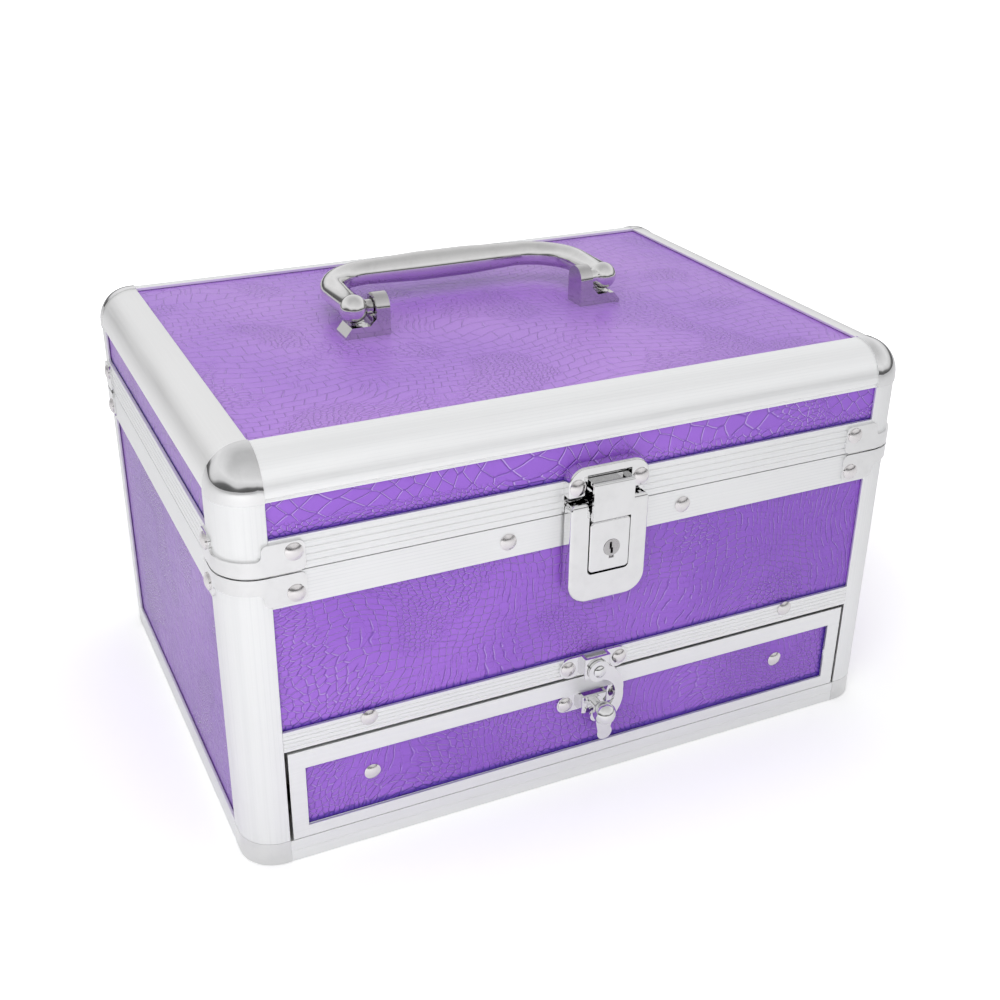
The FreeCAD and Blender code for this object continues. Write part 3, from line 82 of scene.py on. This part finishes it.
# -------------------------------------------------------------- node helpers
class Tree:
    """Short calls that add the nodes of a material or of the world."""

    def __init__(self, tree):
        self.tree = tree

    def add(self, kind, **settings):
        node = self.tree.nodes.new(kind)
        for key, value in settings.items():
            setattr(node, key, value)
        return node

    def put(self, value, socket):
        """A link where the value is a node's output, else the socket's own value."""
        if isinstance(value, bpy.types.NodeSocket):
            self.tree.links.new(value, socket)
        else:
            socket.default_value = value

    def fill(self, node, **values):
        """Inputs by name, with _ for a space."""
        for key, value in values.items():
            self.put(value, node.inputs[key.replace("_", " ")])

    def split(self, vector):
        node = self.add("ShaderNodeSeparateXYZ")
        self.put(vector, node.inputs[0])
        return node.outputs

    def math(self, operation, a, b=0.0, c=0.0, clamp=False):
        node = self.add("ShaderNodeMath", operation=operation, use_clamp=clamp)
        for value, socket in zip((a, b, c), node.inputs):
            self.put(value, socket)
        return node.outputs[0]

    def vector(self, operation, a, b=(0, 0, 0), scale=1.0):
        node = self.add("ShaderNodeVectorMath", operation=operation)
        self.put(a, node.inputs[0])
        self.put(b, node.inputs[1])
        self.put(scale, node.inputs[3])
        return node.outputs["Value" if operation in ("DOT_PRODUCT", "LENGTH") else "Vector"]

    def noise(self, at, scale, detail=2.0, rough=0.5, colour=False):
        node = self.add("ShaderNodeTexNoise")
        self.fill(node, Vector=at, Scale=scale, Detail=detail, Roughness=rough)
        return node.outputs["Color" if colour else "Fac"]

    def stray(self, place, at, scale, rough, reach):
        """A place moved by up to half the reach each way, by noise that is read at another place."""
        offset = self.vector("SUBTRACT", self.noise(at, scale, 1.0, rough, colour=True), (0.5, 0.5, 0.5))
        return self.vector("ADD", place, self.vector("SCALE", offset, scale=reach))

    def cells(self, at, size, groove, randomness):
        """Irregular scales: 1 on a scale, falling to 0 in the groove round it."""
        node = self.add("ShaderNodeTexVoronoi", feature="DISTANCE_TO_EDGE", voronoi_dimensions="2D")
        fitted = self.vector("MULTIPLY", at, (1 / size[0], 1 / size[1], 1.0))
        self.fill(node, Vector=fitted, Scale=1.0, Randomness=randomness)
        return self.ramp(node.outputs["Distance"], 0.0, groove)

    def bricks(self, at, size, groove):
        """Staggered tiles: 1 or a little less on a tile, falling to 0 in the groove round it."""
        node = self.add("ShaderNodeTexBrick", offset=0.5, squash=1.0)
        self.fill(node, Vector=at, Color1=grey(1.0), Color2=grey(0.8), Mortar=grey(0.0))
        self.fill(node, Scale=1.0, Brick_Width=size[0], Row_Height=size[1])
        self.fill(node, Mortar_Size=groove, Mortar_Smooth=1.0)
        return node.outputs["Color"]

    def ramp(self, value, low, high, out_low=0.0, out_high=1.0):
        """A smooth step from one level at low to another at high."""
        node = self.add("ShaderNodeMapRange", interpolation_type="SMOOTHSTEP")
        self.fill(node, Value=value, From_Min=low, From_Max=high, To_Min=out_low, To_Max=out_high)
        return node.outputs["Result"]

    def mix(self, factor, a, b):
        """Mix of two numbers."""
        node = self.add("ShaderNodeMix", data_type="FLOAT")
        for value, socket in zip((factor, a, b), node.inputs[:1] + node.inputs[2:4]):
            self.put(value, socket)
        return node.outputs[0]

    def blend(self, factor, a, b):
        """Mix of two colours."""
        node = self.add("ShaderNodeMix", data_type="RGBA")
        for value, socket in zip((factor, a, b), node.inputs[:1] + node.inputs[6:8]):
            self.put(value, socket)
        return node.outputs[2]

    def either(self, factor, a, b):
        """Mix of two shaders."""
        node = self.add("ShaderNodeMixShader")
        for value, socket in zip((factor, a, b), node.inputs):
            self.put(value, socket)
        return node.outputs[0]


class Shader(Tree):
    """A material, with calls for its surface."""

    def __init__(self, name):
        self.material = bpy.data.materials.new(name)
        self.material.use_nodes = True
        super().__init__(self.material.node_tree)
        self.surface = self.tree.nodes["Principled BSDF"]

    def place(self, scale=(1, 1, 1)):
        """The place on the object in metres, times a scale."""
        mapping = self.add("ShaderNodeMapping")
        self.fill(mapping, Vector=self.add("ShaderNodeTexCoord").outputs["Object"], Scale=scale)
        return mapping.outputs[0]

    def set(self, **values):
        self.fill(self.surface, **values)

    def bump(self, height, distance, strength):
        node = self.add("ShaderNodeBump")
        self.fill(node, Height=height, Distance=distance, Strength=strength)
        self.set(Normal=node.outputs[0])


def rgb(r, g, b):
    """A screen colour from 0 to 255, as the linear colour that a shader takes."""
    linear = [((v / 255 + 0.055) / 1.055) ** 2.4 if v > 10 else v / 255 / 12.92 for v in (r, g, b)]
    return (*linear, 1.0)


def grey(level):
    return (level, level, level, 1.0)


def dimmed(colour, share):
    return (*(v * share for v in colour[:3]), 1.0)


# ----------------------------------------------------------- embossed panels
# sizes and places in mm, noise scales per mm
PER_METRE = 1000.0
DRIFT = (0.014, 0.4, 52.0)
WOBBLE = (0.14, 0.5, 1.6)
REGION_SCALE, TONE_SCALE = 0.02, 0.012
PUFF_SCALE, FINE_SCALE, FINE_SHARE = 0.16, 2.6, 0.12
NET_GROOVE, NET_VARIETY = 0.085, 0.4
TILE_GROOVE = 0.36
SCALE_SIZE, SCALE_GROOVE, SCALE_VARIETY = (2.9, 2.2), 0.17, 0.75
PLEAT_RATE, PLEAT_WAVER = 2.0, 9.0
PLEAT_STRETCH = (0.4, 0.1, 1.0)
# painted shade: how many times faster than the pleats the tone leans deeper along the first axis
SHADE_LEAN = 2.6
# painted highlight: the pattern read again, moved by TO_FLANK, finds the flanks facing one way, which are
# lightened toward this colour
TO_FLANK = (0.32, 0.32, 0.0)
PAINTED_GLINT_COLOUR = rgb(216, 190, 248)

# recess borders: the lower ones along Z, the drawer's right one along X
LID_LOW = 147.5
FRONT_LOW = 63.6
REAR_LOW = 11.0
DRAWER_LOW = 16.8
DRAWER_RIGHT = 127.0
# painted shade: the colour, width and waver of the dark line along each recess border
BORDER_SHADE_COLOUR = rgb(62, 20, 150)
BORDER_FULL, BORDER_END, BORDER_WAVER = 1.0, 3.2, 0.9


def pressed(s, place, cell, net, small, creased):
    """Height of the pressed pattern at a place: 1 on a scale, 0 in a groove."""
    if net:
        tiles = s.cells(place, cell, NET_GROOVE, NET_VARIETY)
    else:
        tiles = s.bricks(place, cell, TILE_GROOVE)
    scales = s.cells(place, SCALE_SIZE, SCALE_GROOVE, SCALE_VARIETY)
    waver = s.math("MULTIPLY", s.noise(place, 0.1, 1.0), PLEAT_WAVER)
    phase = s.math("ADD", s.math("MULTIPLY", s.split(place)["X"], PLEAT_RATE), waver)
    line = s.ramp(s.math("SINE", phase), 0.55, 1.0)
    broken = s.ramp(s.noise(s.vector("MULTIPLY", place, PLEAT_STRETCH), 1.0, 1.0), 0.42, 0.52)
    pleats = s.math("SUBTRACT", s.ramp(tiles, 0, 1, 0.7, 1), s.math("MULTIPLY", line, broken), clamp=True)
    return s.mix(creased, s.mix(small, tiles, scales), pleats)


def embossed(name, axes, seed, tones, cell=(7.4, 5.0), net=False, turn=0.0, folds=0.45, fine_from=0.5,
             glint=0.4, shade=0.4, borders=(), tight=None, lean=0.0, press=0.0006):
    """Glossy purple sheet with a pressed hide pattern of tiles, small scales and pleats.

    axes are the two that the panel lies in, and tones its pale, full and deep screen colours.
    cell is the size of a tile: staggered tiles, or an irregular net of them. turn turns the
    pattern by some degrees. A slow noise brings pleats below the level folds, and small scales
    above the level fine_from. glint and shade are the strengths of the painted highlight on the
    flanks and of the painted shade in the grooves, which turns them toward the deep tone. borders
    are recess borders as (axis, place, side), with a line of painted shade on that side. tight is
    a height under which the scales turn small. lean moves the pleats to the far end of the first
    axis, and paints shade there by turning the tone deeper. press is the relief's depth in metres."""
    s = Shader(name)
    pale, full, deep = (rgb(*tone) for tone in tones)
    where = s.split(s.add("ShaderNodeTexCoord").outputs["Object"])
    first, second = where[axes[0]], where[axes[1]]
    flat = s.add("ShaderNodeCombineXYZ")
    s.fill(flat, X=first, Y=second)
    at = s.vector("ADD", s.vector("SCALE", flat.outputs[0], scale=PER_METRE), (seed, seed * 0.7, 0.0))

    # a slow drift bends the rows and squeezes them here and there, and a quick wobble makes them ragged
    bent = s.stray(at, at, *DRIFT)
    if turn:
        spin = s.add("ShaderNodeVectorRotate", rotation_type="Z_AXIS")
        s.fill(spin, Vector=bent, Angle=math.radians(turn))
        bent = spin.outputs[0]
    ragged = s.stray(bent, at, *WOBBLE)

    region = s.noise(at, REGION_SCALE, 1.0, 0.4)
    cloud = s.noise(at, TONE_SCALE, 1.0, 0.5)
    # lean moves the pleats, and paints shade by turning the tone deeper toward the far end of the first
    # axis
    if lean:
        region = s.math("ADD", region, s.math("MULTIPLY", first, -PER_METRE * lean))
        cloud = s.math("ADD", cloud, s.math("MULTIPLY", first, -PER_METRE * lean * SHADE_LEAN))
    small = s.ramp(region, fine_from, fine_from + 0.06)
    if tight:
        upright = s.math("MULTIPLY", second, PER_METRE)
        small = s.math("MAXIMUM", small, s.ramp(upright, tight + 2.5, tight - 1.0))
    creased = s.ramp(region, folds, folds - 0.05)

    height = pressed(s, ragged, cell, net, small, creased)
    # painted highlight: the flanks that face one way are lightened toward the glint colour, as if lit
    flank = pressed(s, s.vector("ADD", ragged, TO_FLANK), cell, net, small, creased)
    tone = s.blend(s.ramp(cloud, 0.25, 0.75), full, pale)
    # painted shade: the grooves are darkened toward the deep tone, as shade lying in them
    painted_groove_shade = s.blend(s.math("MULTIPLY", s.ramp(height, 0.9, 0.1), shade), tone, deep)
    lit = s.ramp(s.math("SUBTRACT", flank, height), 0.15, 0.9, 0.0, glint)
    colour = s.blend(lit, painted_groove_shade, PAINTED_GLINT_COLOUR)
    # painted shade: a dark line along each recess border, where the recess lies in shade
    for axis, border, side in borders:
        inward = s.math("MULTIPLY", where[axis], PER_METRE * side)
        uneven = s.math("ADD", inward, s.math("MULTIPLY", height, BORDER_WAVER))
        line = s.ramp(uneven, border * side + BORDER_END, border * side + BORDER_FULL, 0.0, 0.95)
        colour = s.blend(line, colour, BORDER_SHADE_COLOUR)

    puff = s.noise(ragged, PUFF_SCALE, 1.0, 0.5)
    fine = s.noise(at, FINE_SCALE, 2.0, 0.6)
    relief = s.math("ADD", height, s.math("ADD", puff, s.math("MULTIPLY", fine, FINE_SHARE)))
    s.set(Base_Color=colour, Roughness=s.ramp(fine, 0.3, 0.7, 0.32, 0.44))
    s.set(Coat_Weight=0.3, Coat_Roughness=0.22)
    s.bump(relief, press, 0.7)
    return s.material


# the walls' lean paints shade, deeper toward the far end of X, and moves their pleats there
WALL = dict(cell=(4.6, 3.5), net=True, folds=0.47, fine_from=0.53, shade=0.42, lean=0.0007)
END_WALL = dict(shade=0.7, press=0.0013)
PANEL_FRONT = embossed("embossed_front", "XZ", 11.0, ((156, 99, 213), (134, 78, 195), (92, 40, 160)),
                       borders=(("Z", FRONT_LOW, 1),), **WALL)
PANEL_REAR = embossed("embossed_rear", "XZ", 11.0, ((158, 102, 214), (147, 91, 206), (92, 40, 160)),
                      borders=(("Z", REAR_LOW, 1),), **WALL)
PANEL_DRAWER = embossed("embossed_drawer", "XZ", 37.0, ((150, 94, 208), (134, 78, 194), (92, 42, 160)),
                        cell=(4.4, 3.4), net=True, fine_from=0.42, glint=0.3, shade=0.3,
                        borders=(("Z", DRAWER_LOW, 1), ("X", DRAWER_RIGHT, -1)))
PANEL_LID = embossed("embossed_lid", "XZ", 71.0, ((156, 100, 214), (143, 88, 204), (88, 38, 160)),
                     cell=(7.6, 6.6), net=True, turn=42.0, folds=0.2, fine_from=0.62, glint=0.62,
                     borders=(("Z", LID_LOW, 1),), tight=LID_LOW + 4.0)
PANEL_SIDE = embossed("embossed_side", "YZ", 53.0, ((154, 102, 203), (132, 80, 188), (70, 26, 136)),
                      cell=(5.0, 4.0), net=True, folds=0.56, glint=0.85, **END_WALL)
PANEL_LID_SIDE = embossed("embossed_lid_side", "YZ", 29.0, ((160, 108, 206), (140, 88, 196), (70, 26, 136)),
                          folds=0.62, glint=0.8, borders=(("Z", LID_LOW, 1),), **END_WALL)
# painted light: the top's tones are lighter than the walls', for the light that falls on the top
PANEL_TOP = embossed("embossed_top", "XY", 97.0, ((170, 122, 212), (154, 104, 204), (110, 62, 172)),
                     cell=(8.4, 5.4), folds=0.4, fine_from=0.52, glint=0.25, shade=0.26)


# ----------------------------------------------------------- other materials
X, Y, Z = range(3)
SATIN = (0.875, 0.88, 0.88, 1.0)
MARKS_ALONG, MARKS_ACROSS = 16.0, 1400.0
# painted shade: the colour that the rib grooves are darkened toward
RIB_SHADE_COLOUR = (0.35, 0.38, 0.42, 1.0)


def brushed(name, along, ribs=None, colour=SATIN, rough=0.4):
    """Satin anodised extrusion with drawing marks along one axis.

    ribs are fine grooves, bumped and darkened with painted shade, as (direction across them, pitch in mm,
    strength)."""
    s = Shader(name)
    stretch = [MARKS_ACROSS] * 3
    stretch[along] = MARKS_ALONG
    marks = s.noise(s.place(stretch), 1.0, 3.0, 0.6)
    cloud = s.noise(s.place(), 22.0, 2.0, 0.5)
    tone = s.blend(s.ramp(marks, 0.35, 0.65), dimmed(colour, 0.975), colour)
    height = marks
    if ribs:
        across, pitch, strength = ribs
        step = s.vector("DOT_PRODUCT", s.place(), across)
        turn = s.math("MULTIPLY", step, 2 * math.pi * PER_METRE / pitch)
        rib = s.ramp(s.math("SINE", turn), 0.55, 1.0)
        uneven = s.math("MULTIPLY", rib, s.ramp(cloud, 0.4, 0.6, 0.35, 1.0))
        # painted shade: the rib grooves are darkened, unevenly, toward the rib shade colour
        tone = s.blend(s.math("MULTIPLY", uneven, strength), tone, RIB_SHADE_COLOUR)
        height = s.math("SUBTRACT", marks, s.math("MULTIPLY", rib, 0.3))
    drawn = s.ramp(marks, 0.3, 0.7, rough - 0.05, rough + 0.05)
    s.set(Base_Color=tone, Metallic=0.72)
    s.set(Roughness=s.math("ADD", drawn, s.ramp(cloud, 0.3, 0.7, -0.02, 0.03)))
    s.bump(height, 0.00003, 0.3)
    return s.material


def plated(name, colour, low, high, waves=0.00004):
    """Plated metal with faint waves, and a haze of handling between two levels of roughness."""
    s = Shader(name)
    haze = s.noise(s.place(), 160.0, 3.0, 0.6)
    wave = s.noise(s.place(), 90.0, 1.0, 0.4)
    s.set(Base_Color=s.blend(s.ramp(haze, 0.4, 0.8), colour, dimmed(colour, 0.94)))
    s.set(Metallic=1.0, Roughness=s.ramp(haze, 0.35, 0.75, low, high))
    s.bump(wave, waves, 0.5)
    return s.material


def felt(name):
    """Black pressed felt."""
    s = Shader(name)
    fibre = s.noise(s.place(), 1500.0, 4.0, 0.7)
    tuft = s.noise(s.place(), 180.0, 2.0, 0.5)
    s.set(Base_Color=s.blend(s.math("MULTIPLY", fibre, tuft), rgb(22, 21, 24), rgb(62, 60, 66)))
    s.set(Roughness=0.95, Sheen_Weight=0.35)
    s.bump(fibre, 0.0002, 0.6)
    return s.material


def board(name):
    """Fibre board with a fine flecked face."""
    s = Shader(name)
    fleck = s.noise(s.place(), 700.0, 3.0, 0.7)
    grain = s.noise(s.place((14, 14, 60)), 12.0, 2.0, 0.5)
    s.set(Base_Color=s.blend(s.ramp(fleck, 0.35, 0.65), rgb(150, 118, 84), rgb(178, 146, 108)))
    s.set(Roughness=s.ramp(grain, 0.3, 0.7, 0.6, 0.75))
    s.bump(fleck, 0.00008, 0.4)
    return s.material


ALU_X = brushed("aluminium_x", X)
# painted light: the lid's left and right edges take a lighter copy of the satin aluminium
ALU_Y = brushed("aluminium_y", Y, colour=(0.91, 0.91, 0.905, 1.0))
RIM = brushed("aluminium_rim", X, ribs=((0, 0, 1), 1.45, 0.11))
POST = brushed("aluminium_post", Z, ribs=((1, 1, 0), 1.7, 0.05))
# painted highlight: the lid's front and rear edges take the lightest copy of the satin aluminium
EDGE = brushed("aluminium_edge", X, ribs=((0, 1, 1), 1.9, 0.05), colour=(0.97, 0.975, 0.975, 1.0))
STEEL = brushed("hinge_steel", X, colour=(0.66, 0.66, 0.67, 1.0), rough=0.3)
CHROME = plated("chrome", grey(0.8), 0.03, 0.1)
GRIP = plated("handle_chrome", (0.78, 0.775, 0.765, 1.0), 0.05, 0.11, waves=0.000005)
BRACKET = plated("bracket_chrome", (0.62, 0.61, 0.61, 1.0), 0.06, 0.14)
KEY = plated("key_metal", (0.5, 0.49, 0.49, 1.0), 0.2, 0.32)
NICKEL = plated("nickel", (0.8, 0.775, 0.775, 1.0), 0.14, 0.26)
FELT = felt("black_felt")
BOARD = board("case_board")


# -------------------------------------------------------------------- pieces
WELD = 0.002 * MM
FLAT = math.radians(0.6)
SHARP = math.radians(28.0)
GRIP_SHARP = math.radians(50.0)
FRAME_ROUND, BASE_ROUND = 0.25, 0.2


def softened(node, material, width=0.0, sharp=SHARP, weighted=True):
    """A copy of a CAD node with even shading and edges rounded by a width in mm, standing for it."""
    bm = bmesh.new()
    bm.from_mesh(NODES[node].data)
    bmesh.ops.remove_doubles(bm, verts=bm.verts, dist=WELD)
    if width:
        bmesh.ops.dissolve_limit(bm, angle_limit=FLAT, verts=bm.verts, edges=bm.edges)
    for face in bm.faces:
        face.smooth = True
    for edge in bm.edges:
        edge.smooth = edge.calc_face_angle(0.0) < sharp
    mesh = bpy.data.meshes.new(node + "_soft")
    bm.to_mesh(mesh)
    bm.free()
    piece = link(bpy.data.objects.new(node + "_soft", mesh))
    piece.data.materials.append(material)
    if width:
        bevel = piece.modifiers.new("edge", "BEVEL")
        bevel.width = width * MM
        bevel.segments = 2
        bevel.limit_method = "ANGLE"
        bevel.angle_limit = sharp
    if weighted:
        normals = piece.modifiers.new("normals", "WEIGHTED_NORMAL")
        normals.keep_sharp = not width
    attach(piece, BODY_OF[node])
    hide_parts(node)


def paint(node, material):
    """Gives a CAD node that stays its material."""
    mesh = NODES[node].data
    mesh.materials.clear()
    mesh.materials.append(material)


paint("body_panel_front", PANEL_FRONT)
paint("body_panel_rear", PANEL_REAR)
for side in ("front", "rear"):
    paint(f"lid_panel_{side}", PANEL_LID)
for side in ("left", "right"):
    paint(f"body_panel_{side}", PANEL_SIDE)
    paint(f"lid_panel_{side}", PANEL_LID_SIDE)
paint("lid_panel_top", PANEL_TOP)
paint("drawer_panel", PANEL_DRAWER)
for node in ("body_lining", "lid_lining", "drawer_lining"):
    paint(node, FELT)
for node in ("bottom_panel", "compartment_floor", "drawer_guides", "drawer_box"):
    paint(node, BOARD)

for corner in ("front_left", "front_right", "rear_left", "rear_right"):
    softened(f"body_post_{corner}", POST, FRAME_ROUND)
softened("lid_corner_posts", POST, FRAME_ROUND)
for side, material in (("front", EDGE), ("rear", EDGE), ("left", ALU_Y), ("right", ALU_Y)):
    softened(f"lid_edge_{side}", material, FRAME_ROUND)
for node in ("header_rail", "body_rim", "lid_rim"):
    softened(node, RIM)
for node in ("base_rails", "drawer_frame"):
    softened(node, ALU_X, BASE_ROUND)
for node in ("base_corner_caps", "lid_ball_corners", "body_corner_clasps", "lid_corner_clasps",
             "lock_base", "lock_lever", "lock_claw", "lock_housing", "lock_strike", "lever_pivots",
             "claw_pin", "hook_bracket", "drawer_hook", "hook_pivot", "hook_keeper", "hook_knob"):
    softened(node, CHROME)
for node in ("handle_bracket_left", "handle_bracket_right", "handle_bolts", "handle_pins"):
    softened(node, BRACKET)
softened("handle_grip", GRIP, sharp=GRIP_SHARP, weighted=False)
softened("key_plug", KEY)
for node in ("body_rivets", "lid_rivets", "drawer_rivets"):
    softened(node, NICKEL)
for node in ("hinge_leaves_body", "hinge_leaves_lid", "hinge_pins"):
    softened(node, STEEL)


# -------------------------------------------------------------- floor, light
FLOOR_HALF = 4.0
FLOOR_BELOW = 0.2 * MM
# the floor's own light, and the distances in metres between which it rises to white
LIFT_NEAR, LIFT_FAR = 0.2, 0.9
LIFT_FROM, LIFT_TO = 0.2, 0.5

# greys of the room as (height of the direction, grey), for its light and for what metal mirrors
ROOM = ((0.0, 0.45), (0.1, 0.6), (0.3, 0.9), (0.62, 1.0))
ROOM_LIGHT = 0.64
MIRRORED = ((0.0, 0.13), (0.1, 0.18), (0.2, 0.8), (0.4, 1.0), (0.95, 0.66))
MIRRORED_LIGHT = 0.9
PATCH_SCALE, PATCH_REACH = 1.1, 0.5

# place, aim, and width and depth in metres, and watts
LAMPS = {
    "key": ((-0.52, -0.75, 0.7), (-0.1, 0, 0.08), (0.9, 0.9), 5.6),
    "fill": ((-1.5, 0.5, 0.8), (0, 0, 0.08), (0.5, 0.9), 0.7),
    "top": ((0.1, 0.3, 1.7), (0, 0, 0.1), (1.2, 1.0), 5.6),
}


def make_floor():
    """A wide pale floor, white far off, that keeps the shadow near the case."""
    corners = [(x * FLOOR_HALF, y * FLOOR_HALF, 0) for x, y in ((-1, -1), (1, -1), (1, 1), (-1, 1))]
    mesh = bpy.data.meshes.new("floor")
    mesh.from_pydata(corners, [], [(0, 1, 2, 3)])
    floor = link(bpy.data.objects.new("floor", mesh))
    floor.location.z = -FLOOR_BELOW
    s = Shader("floor")
    at = s.place()
    grain = s.noise(at, 40.0, 2.0, 0.5)
    s.set(Base_Color=(0.9, 0.9, 0.905, 1.0), Roughness=s.ramp(grain, 0.3, 0.7, 0.75, 0.85))
    s.set(Specular_IOR_Level=0.1)
    lift = s.ramp(s.vector("LENGTH", at), LIFT_FROM, LIFT_TO, LIFT_NEAR, LIFT_FAR)
    seen = s.add("ShaderNodeLightPath").outputs["Is Camera Ray"]
    s.set(Emission_Color=grey(1.0), Emission_Strength=s.math("MULTIPLY", lift, seen))
    floor.data.materials.append(s.material)


def make_lamp(name, at, towards, size, power):
    """An oval lamp that the metal doesn't mirror."""
    data = bpy.data.lights.new(name, "AREA")
    data.shape = "ELLIPSE"
    data.size, data.size_y = size
    data.energy = power
    lamp = link(bpy.data.objects.new(name, data))
    lamp.location = at
    lamp.visible_glossy = False
    lamp.rotation_euler = (Vector(towards) - Vector(at)).to_track_quat("-Z", "Y").to_euler()


def background(world, colour, strength):
    node = world.add("ShaderNodeBackground")
    world.fill(node, Color=colour, Strength=strength)
    return node.outputs[0]


def sky(world, height, stops, strength):
    """A background whose grey follows the height of the direction above the horizon."""
    ramp = world.add("ShaderNodeValToRGB")
    world.put(height, ramp.inputs["Fac"])
    elements = ramp.color_ramp.elements
    while len(elements) < len(stops):
        elements.new(0.5)
    for element, (position, level) in zip(elements, stops):
        element.position = position
        element.color = (level, level, level * 1.01, 1)
    return background(world, ramp.outputs["Color"], strength)


def make_world():
    """White to the camera, a pale room for light, and a darker horizon for what the metal mirrors."""
    studio = bpy.data.worlds.new("studio")
    bpy.context.scene.world = studio
    studio.use_nodes = True
    studio.node_tree.nodes.clear()
    world = Tree(studio.node_tree)
    direction = world.add("ShaderNodeTexCoord").outputs["Generated"]
    up = world.split(direction)["Z"]
    room = sky(world, up, ROOM, ROOM_LIGHT)
    # the mirrored horizon is dark in broken patches, like a room behind the lamps
    patch = world.noise(direction, PATCH_SCALE, 0.0)
    shift = world.math("MULTIPLY_ADD", patch, PATCH_REACH, -PATCH_REACH / 2)
    mirrored = sky(world, world.math("ADD", up, shift), MIRRORED, MIRRORED_LIGHT)
    white = background(world, grey(1.0), 1.0)
    ray = world.add("ShaderNodeLightPath").outputs
    unseen = world.either(ray["Is Glossy Ray"], room, mirrored)
    out = world.add("ShaderNodeOutputWorld")
    world.fill(out, Surface=world.either(ray["Is Camera Ray"], unseen, white))


make_floor()
make_world()
for name, settings in LAMPS.items():
    make_lamp(name, *settings)
